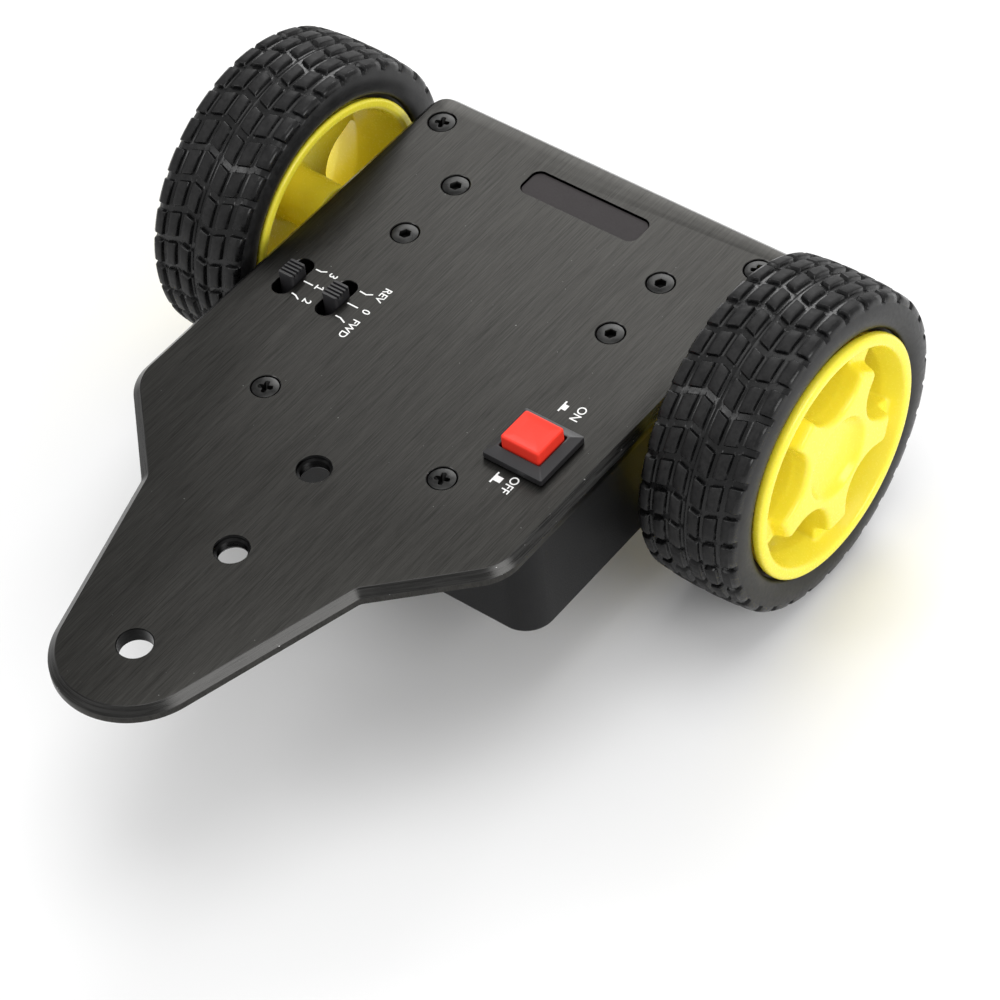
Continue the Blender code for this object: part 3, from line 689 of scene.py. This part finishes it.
def make_power_switch():
    x, y = BEZEL_SIZE
    base = DECK_TOP + BEZEL_LIFT
    levels = [
        (rectangle(x - 0.1, y - 0.1, 0.35, 5), base),
        (rectangle(x, y, 0.4, 5), base + 0.1),
        (rectangle(x, y, 0.4, 5), DECK_TOP + 1.4),
        (rectangle(x - 0.1, y - 0.1, 0.36, 5), DECK_TOP + 1.5),
        (rectangle(x - 3.3, y - 3.9, 0.2, 5), DECK_TOP + 2.3),
    ]
    bezel = shape("power_switch_bezel", stack(levels), (POWER_X, POWER_Y, 0))
    sleeve = [size - 2.3 for size in BEZEL_SIZE]
    join(bezel, prism(rectangle(*sleeve, 0.2, 3), SLEEVE_BOTTOM, DECK_TOP + 1), (POWER_X, POWER_Y, 0))
    bore = [size + 0.6 for size in CAP_SIZE]
    well = [
        (rectangle(*bore, 0.4, 5), WELL_BOTTOM),
        (rectangle(*bore, 0.4, 5), DECK_TOP + 2.2),
        (rectangle(bore[0] + 0.3, bore[1] + 0.3, 0.5, 5), DECK_TOP + 2.36),
        (rectangle(bore[0] + 0.3, bore[1] + 0.3, 0.5, 5), DECK_TOP + 4),
    ]
    carve(bezel, stack(well), (POWER_X, POWER_Y, 0))
    place(bezel, "chassis", ["power_bezel"], ["switch"], 22)

    top = DECK_TOP + CAP_HEIGHT
    x, y = CAP_SIZE
    levels = [
        (rectangle(x, y, 0.6, 6), CAP_BOTTOM),
        (rectangle(x, y, 0.6, 6), top - 0.6),
        (rectangle(x, y, 0.6, 6), top - 0.42),
        (rectangle(x - 0.08, y - 0.08, 0.58, 6), top - 0.22),
        (rectangle(x - 0.3, y - 0.3, 0.5, 6), top - 0.06),
        (rectangle(x - 0.62, y - 0.62, 0.45, 6), top),
        (rectangle(x - 0.9, y - 0.9, 0.45, 6), top),
        (rectangle(x - 1.6, y - 1.6, 0.4, 6), top - 0.05),
        (rectangle(x - 3.6, y - 3.6, 0.3, 6), top - 0.14),
    ]
    cap = shape("power_cap", stack(levels), (POWER_X, POWER_Y, 0))
    place(cap, "power_button", ["power_button"], ["button"], 50)


def make_sliders():
    """Slide-switch knobs with a serrated grip."""
    for name, x in SLIDERS.items():
        top = DECK_TOP + KNOB_HEIGHT
        levels = [
            (rectangle(3.5, 4.2, 0.5, 4), KNOB_BOTTOM),
            (rectangle(3.5, 4.2, 0.5, 4), top - 0.15),
            (rectangle(3.3, 4.04, 0.4, 4), top),
        ]
        knob = shape(f"{name}_slider", stack(levels), (x, SLIDE_Y, 0))
        for groove in (-1.5, -0.5, 0.5, 1.5):
            notch = [
                (rectangle(5, 0.16, 0), top - 0.6),
                (rectangle(5, 0.5, 0), top + 0.05),
                (rectangle(5, 0.5, 0), top + 1),
            ]
            carve(knob, stack(notch), (x, SLIDE_Y + groove * RIDGE_PITCH, 0))
        place(knob, f"{name}_knob", [f"{name}_knob"], ["switch"])


# ---------------------------------------------------------------- markings

INK_BOTTOM, INK_TOP = DECK_TOP + 0.004, DECK_TOP + 0.03


def lettering(text, size, where):
    """Letters read towards the nose, with their tops towards the right-hand wheel."""
    curve = bpy.data.curves.new("letters", "FONT")
    curve.body = text
    curve.size = size
    curve.align_x = "CENTER"
    curve.align_y = "CENTER"
    curve.extrude = (INK_TOP - INK_BOTTOM) / 2
    curve.resolution_u = 4
    curve.offset = 0.02
    letters = bpy.data.objects.new("letters", curve)
    bpy.context.scene.collection.objects.link(letters)
    graph = bpy.context.evaluated_depsgraph_get()
    mesh = bpy.data.meshes.new_from_object(letters.evaluated_get(graph))
    bpy.data.objects.remove(letters)
    turn = Matrix.Rotation(-math.pi / 2, 4, "Z")
    mesh.transform(Matrix.Translation((*where, (INK_TOP + INK_BOTTOM) / 2)) @ turn)
    return mesh


def ink_line(points, width):
    """A thin printed line through points, as a closed strip."""
    solid = bmesh.new()
    left, right = [], []
    for index, point in enumerate(points):
        here = Vector(point)
        before = Vector(points[max(index - 1, 0)])
        after = Vector(points[min(index + 1, len(points) - 1)])
        along = (after - before).normalized()
        across = Vector((-along.y, along.x)) * width / 2
        left.append(here + across)
        right.append(here - across)
    outline = [(p.x, p.y) for p in left + right[::-1]]
    lower = [solid.verts.new((x, y, INK_BOTTOM)) for x, y in outline]
    upper = [solid.verts.new((x, y, INK_TOP)) for x, y in outline]
    count = len(points)
    for index in range(count - 1):
        pair = (index, index + 1, 2 * count - 2 - index, 2 * count - 1 - index)
        solid.faces.new([lower[i] for i in pair][::-1])
        solid.faces.new([upper[i] for i in pair])
    for index in range(len(outline)):
        following = (index + 1) % len(outline)
        solid.faces.new((lower[index], lower[following], upper[following], upper[index]))
    bmesh.ops.recalc_face_normals(solid, faces=solid.faces)
    mesh = bpy.data.meshes.new("line")
    solid.to_mesh(mesh)
    solid.free()
    return mesh


def marking(name, meshes):
    joined = bmesh.new()
    for mesh in meshes:
        joined.from_mesh(mesh)
        bpy.data.meshes.remove(mesh)
    bmesh.ops.remove_doubles(joined, verts=joined.verts, dist=1e-5)
    mesh = bpy.data.meshes.new(name)
    joined.to_mesh(mesh)
    joined.free()
    obj = bpy.data.objects.new(name, mesh)
    bpy.context.scene.collection.objects.link(obj)
    place(obj, "chassis", (), ["print"])


def make_markings():
    power = [lettering("ON", 2.5, (31.7, -26.9)), lettering("OFF", 2.5, (31.9, -47.6))]
    for y, x, height in ((-26.9, 28.8, 0.9), (-47.6, 29.1, 1.5)):
        power.append(ink_line([(x - 0.7, y + 1.4), (x - 0.7, y - 1.4)], 0.34))
        middle = x - 0.53 + height / 2
        power.append(ink_line([(middle, y + 0.68), (middle, y - 0.68)], height))
    marking("power_marking", power)
    bends = (((-32.3, -24.1), (-31.0, -24.1), (-30.0, -23.5)), ((-32.2, -27.8), (-30.0, -27.8)))
    bends += (((-32.1, -31.5), (-31.1, -31.6), (-30.0, -32.2)),)
    speed = [ink_line(points, 0.3) for points in bends]
    for label, y in (("3", -23.8), ("2", -31.7)):
        speed.append(lettering(label, 2.5, (-28.4, y)))
    stem = ((-27.62, -27.7), (-29.1, -27.7))
    flag = ((-28.1, -27.1), (-27.72, -27.5))
    foot = ((-29.25, -27.1), (-29.25, -28.3))
    speed += [ink_line(points, 0.28) for points in (stem, flag, foot)]
    marking("speed_marking", speed)
    bends = (((-21.6, -24.1), (-20.0, -24.2), (-18.9, -23.5)), ((-21.6, -27.8), (-19.1, -27.8)))
    bends += (((-21.4, -31.6), (-20.2, -31.6), (-18.8, -32.2)),)
    direction = [ink_line(points, 0.3) for points in bends]
    for label, y in (("REV", -22.6), ("0", -27.8), ("FWD", -32.9)):
        direction.append(lettering(label, 2.3, (-17.2, y)))
    marking("direction_marking", direction)


# ---------------------------------------------------------------- wheels

def row_shift(u):
    """Degrees by which the gap between rows of blocks is moved at u from the tyre's middle."""
    knots = ((0, 0), (3.2, 1.85), (4.2, 1.05), (6.7, -0.3), (7.9, -1.45), (10.9, -2.0), (99, -2.0))
    distance = abs(u)
    for (start, low), (end, high) in zip(knots, knots[1:]):
        if distance <= end:
            shift = low + (high - low) * (distance - start) / (end - start)
            return shift if u >= 0 else -shift
    return 0.0


def crown(u):
    return TYRE_RADIUS - 0.85 * (abs(u) / 11.0) ** 2.4


def tread_stations():
    """Points across half of the tread, each with u and radius on a block and in a gap."""
    def on_column(u, height):
        floor = crown(u) - BLOCK_HEIGHT
        return (u, floor + BLOCK_HEIGHT * height, u, floor)

    stations = [(0.0, 31.66, 0.0, 31.66), (0.12, 31.6, 0.12, 31.6)]
    rise = ((-0.1, 0.0), (0.0, 0.1), (0.12, 0.84), (0.28, 1.0))
    for start, end in ((0.8, 3.2), (4.2, 6.7)):
        stations += [on_column(start + step, height) for step, height in rise]
        stations += [on_column(start + (end - start) * share, 1.0) for share in (0.35, 0.65)]
        stations += [on_column(end - step, height) for step, height in reversed(rise)]
    stations += [on_column(7.9 + step, height) for step, height in rise]
    stations += [
        (9.0, crown(9.0), 8.9, crown(8.9) - BLOCK_HEIGHT),
        (9.7, crown(9.7), 9.4, crown(9.4) - BLOCK_HEIGHT),
        (10.1, 31.6, 9.75, 30.8),
        (10.28, 31.45, 9.95, 30.72),
        (10.4, 31.25, 10.12, 30.62),
        (10.48, 31.0, 10.3, 30.52),
        (10.56, 30.72, 10.46, 30.42),
    ]
    return stations


SIDEWALL = (
    (10.6, 30.35),
    (10.72, 30.0),
    (10.84, 29.5),
    (10.94, 28.9),
    (11.0, 28.2),
    (10.98, 27.4),
    (10.86, 26.6),
    (10.66, 26.0),
    (10.4, 25.55),
    (10.0, 25.3),
    (9.15, 25.2),
    (9.0, 24.9),
    (9.0, 24.3),
    (8.8, 24.1),
)


def tyre_section():
    """The closed cross-section of the tyre, each point with its place on a block and in a gap."""
    right = tread_stations()
    left = [(-a, b, -c, d) for a, b, c, d in right[:0:-1]]
    outside = [(u, r, u, r) for u, r in SIDEWALL]
    inside = [(-u, r, -u, r) for u, r in reversed(SIDEWALL)]
    return left + right + outside + inside


def row_lines():
    """Degrees from the middle of the gap before a row of blocks, and the height there."""
    period = 360 / BLOCK_ROWS
    half_gap = ROW_GAP / 2
    rise = ((-0.22, 0.0), (-0.1, 0.1), (0.1, 0.84), (0.36, 1.0))
    lines = [(0.0, 0.0)]
    lines += [(half_gap + step, height) for step, height in rise]
    lines += [(period * share, 1.0) for share in (0.4, 0.6)]
    lines += [(period - half_gap - step, height) for step, height in reversed(rise)]
    return lines


def make_tyre():
    section = tyre_section()
    lines = row_lines()
    solid = bmesh.new()
    rings = []
    for row in range(BLOCK_ROWS):
        for offset, height in lines:
            ring = []
            for block_u, block_r, gap_u, gap_r in section:
                u = gap_u + (block_u - gap_u) * height
                radius = gap_r + (block_r - gap_r) * height
                angle = math.radians(ROW_START + row * 360 / BLOCK_ROWS + offset + row_shift(u))
                y, z = radius * math.cos(angle), AXLE_Z + radius * math.sin(angle)
                ring.append(solid.verts.new((TYRE_MIDDLE + u, y, z)))
            rings.append((ring, height))
    for index, (ring, height) in enumerate(rings):
        following, next_height = rings[(index + 1) % len(rings)]
        for point in range(len(section)):
            after = (point + 1) % len(section)
            face = solid.faces.new((ring[point], ring[after], following[after], following[point]))
            radii = (section[point][1], section[after][1])
            block_top = max(BLOCK_RADIUS, crown(section[point][0]) - 0.2)
            if max(radii) <= SIDEWALL_RADIUS:
                face.material_index = 2
            elif min(height, next_height) > 0.9 and min(radii) > block_top:
                face.material_index = 0
            else:
                face.material_index = 1
    return shape("tyre", solid)


def star_outline(tip, half_width, segments=10):
    corners = []
    for spoke in range(SPOKES):
        angle = SPOKE_PHASE + math.tau * spoke / SPOKES
        along = Vector((math.cos(angle), math.sin(angle)))
        across = Vector((-along.y, along.x))
        for side in (-1, 1):
            corner = along * tip + across * side * half_width
            corners.append((corner.x, corner.y, 0.9))
        notch_angle = angle + math.pi / SPOKES
        reach = half_width / math.sin(math.pi / SPOKES)
        notch_x, notch_y = reach * math.cos(notch_angle), reach * math.sin(notch_angle)
        corners.append((notch_x, notch_y, NOTCH_RADIUS))
    return filleted(corners, segments)


def make_hub():
    """The moulded wheel centre, made along Z and turned onto the axle afterwards."""
    rim = [
        (23.7, 48.6),
        (23.7, 67.8),
        (24.7, 67.9),
        (24.7, 69.3),
        (24.4, 69.75),
        (23.9, 69.97),
        (22.7, 69.95),
        (22.2, 69.6),
        (20.75, 65.2),
        (20.3, 60.0),
        (21.9, 48.6),
        (22.3, 47.8),
        (22.8, 47.4),
        (24.1, 47.4),
        (24.45, 47.7),
        (24.5, 48.5),
    ]
    hub = shape("hub", turned(rim, 128, closed=True))
    lower = [
        (star_outline(SPOKE_ROOT, SPOKE_HALF_WIDTH + 0.45), SPOKE_BACK),
        (star_outline(SPOKE_ROOT, SPOKE_HALF_WIDTH + 0.25), SPOKE_STEP),
    ]
    join(hub, stack(lower))
    upper = [
        (star_outline(SPOKE_TIP + 0.9, SPOKE_HALF_WIDTH + 0.25), 66.0),
        (star_outline(SPOKE_TIP, SPOKE_HALF_WIDTH), 69.4),
        (star_outline(SPOKE_TIP - 0.5, SPOKE_HALF_WIDTH - 0.35), HUB_FACE),
    ]
    join(hub, stack(upper))
    boss = [(0, 49.0), (5.2, 49.0), (5.4, 49.3), (5.9, 65.0), (0, 65.0)]
    join(hub, turned(boss, 48))
    dish = [(0, 71.0), (9.2, 71.0), (9.2, 70.3), (8.6, 69.95), (7.6, 68.7), (6.6, 68.1)]
    dish += [(5.0, 67.9), (0, 67.9)]
    carve(hub, turned(dish, 64))
    carve(hub, turned([(0, 46.0), (3.0, 46.0), (3.0, 60.3), (0, 60.3)], 32))
    remesh = hub.modifiers.new("remesh", "REMESH")
    remesh.mode = "VOXEL"
    remesh.voxel_size = VOXEL
    smooth = hub.modifiers.new("smooth", "SMOOTH")
    smooth.factor = 0.5
    smooth.iterations = 5
    bake(hub)
    turn = Matrix(((0, 0, 1, 0), (0, 1, 0, 0), (-1, 0, 0, AXLE_Z), (0, 0, 0, 1)))
    hub.data.transform(turn)
    return hub


def make_wheels():
    opposite = Matrix(((-1, 0, 0, 0), (0, 1, 0, 0), (0, 0, -1, 2 * AXLE_Z), (0, 0, 0, 1)))
    for maker, name, node, slot, finishes, sharp in (
        (make_tyre, "tread_tyre", "tyre", "tyre", ["block", "groove", "sidewall"], 50),
        (make_hub, "spoked_hub", "wheel_hub", "hub", ["hub"], 60),
    ):
        right = maker()
        left = bpy.data.objects.new(f"{name}_left", right.data.copy())
        left.data.transform(opposite)
        bpy.context.scene.collection.objects.link(left)
        right.name = f"{name}_right"
        for obj, side in ((right, "right"), (left, "left")):
            place(obj, f"wheel_{side}", [f"{node}_{side}"], finishes, sharp)


# ---------------------------------------------------------------- kept CAD parts

CAD_FINISHES = (
    ("motor_can", "steel"),
    ("motor_cap", "motor_cap"),
    ("motor_rotor", "screw"),
    ("motor_bracket", "steel"),
    ("gearbox_frame", "brass"),
    ("gear_", "brass"),
    ("output_shaft", "steel"),
    ("axle_bush", "brass"),
    ("wheel_coupler", "brass"),
    ("battery_cell", "cell"),
    ("battery_contact", "steel"),
    ("battery_holder", "switch"),
    ("battery_door", "box"),
    ("control_board", "board"),
    ("power_switch_body", "switch"),
    ("speed_switch_body", "steel"),
    ("direction_switch_body", "steel"),
)


def finish_cad_nodes():
    for name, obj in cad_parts.items():
        for start, finish in CAD_FINISHES:
            if name.startswith(start):
                obj.data.materials.clear()
                obj.data.materials.append(MATERIALS[finish])
                break


# ---------------------------------------------------------------- studio

CAMERA_PLACE = (0.35213, -0.35360, 0.56447)
CAMERA_TURN = (42.184, 4.031, 37.214)
CAMERA_LENS = 142.3
CAMERA_SHIFT = (-0.0339, 0.0031)
FLOOR_HALF_SIZE = 4.0
FLOOR_DROP = 0.0003
WORLD_STRENGTH = 0.68


def make_camera():
    data = bpy.data.cameras.new("camera")
    data.sensor_width = 36.0
    data.lens = CAMERA_LENS
    data.shift_x, data.shift_y = CAMERA_SHIFT
    data.clip_start = 0.01
    camera = bpy.data.objects.new("camera", data)
    camera.location = CAMERA_PLACE
    camera.rotation_euler = [math.radians(angle) for angle in CAMERA_TURN]
    bpy.context.scene.collection.objects.link(camera)
    bpy.context.scene.camera = camera


def softbox(name, place_at, target, size, power):
    data = bpy.data.lights.new(name, "AREA")
    data.shape = "RECTANGLE"
    data.size, data.size_y = size
    data.energy = power
    light = bpy.data.objects.new(name, data)
    light.location = place_at
    aim = Vector(target) - Vector(place_at)
    light.rotation_euler = aim.to_track_quat("-Z", "Y").to_euler()
    bpy.context.scene.collection.objects.link(light)


def make_studio():
    floor_material = new_material("pale_studio_floor", (0.86, 0.86, 0.86), 0.6)
    solid = bmesh.new()
    bmesh.ops.create_grid(solid, x_segments=1, y_segments=1, size=FLOOR_HALF_SIZE)
    mesh = bpy.data.meshes.new("floor")
    solid.to_mesh(mesh)
    solid.free()
    mesh.materials.append(floor_material)
    floor = bpy.data.objects.new("floor", mesh)
    floor.location.z = -FLOOR_DROP
    bpy.context.scene.collection.objects.link(floor)
    world = bpy.data.worlds.new("studio")
    bpy.context.scene.world = world
    world.use_nodes = True
    background = world.node_tree.nodes["Background"]
    background.inputs["Color"].default_value = (1.0, 1.0, 1.0, 1.0)
    background.inputs["Strength"].default_value = WORLD_STRENGTH
    softbox("back_softbox", (-0.42, 0.95, 0.68), (0, 0.02, 0.03), (0.7, 0.5), 6.5)
    softbox("right_softbox", (0.95, 0.0, 0.55), (0.02, 0, 0.03), (0.6, 0.5), 4.5)
    softbox("left_softbox", (-0.55, -0.72, 0.86), (0, 0, 0.03), (0.4, 0.35), 2.4)
    softbox("top_softbox", (0.0, 0.1, 1.3), (0, 0, 0.03), (0.8, 0.8), 4)
    bpy.context.scene.view_settings.view_transform = "Standard"


make_camera()
make_studio()
make_deck()
make_screws()
make_box()
make_power_switch()
make_sliders()
make_markings()
make_wheels()
finish_cad_nodes()
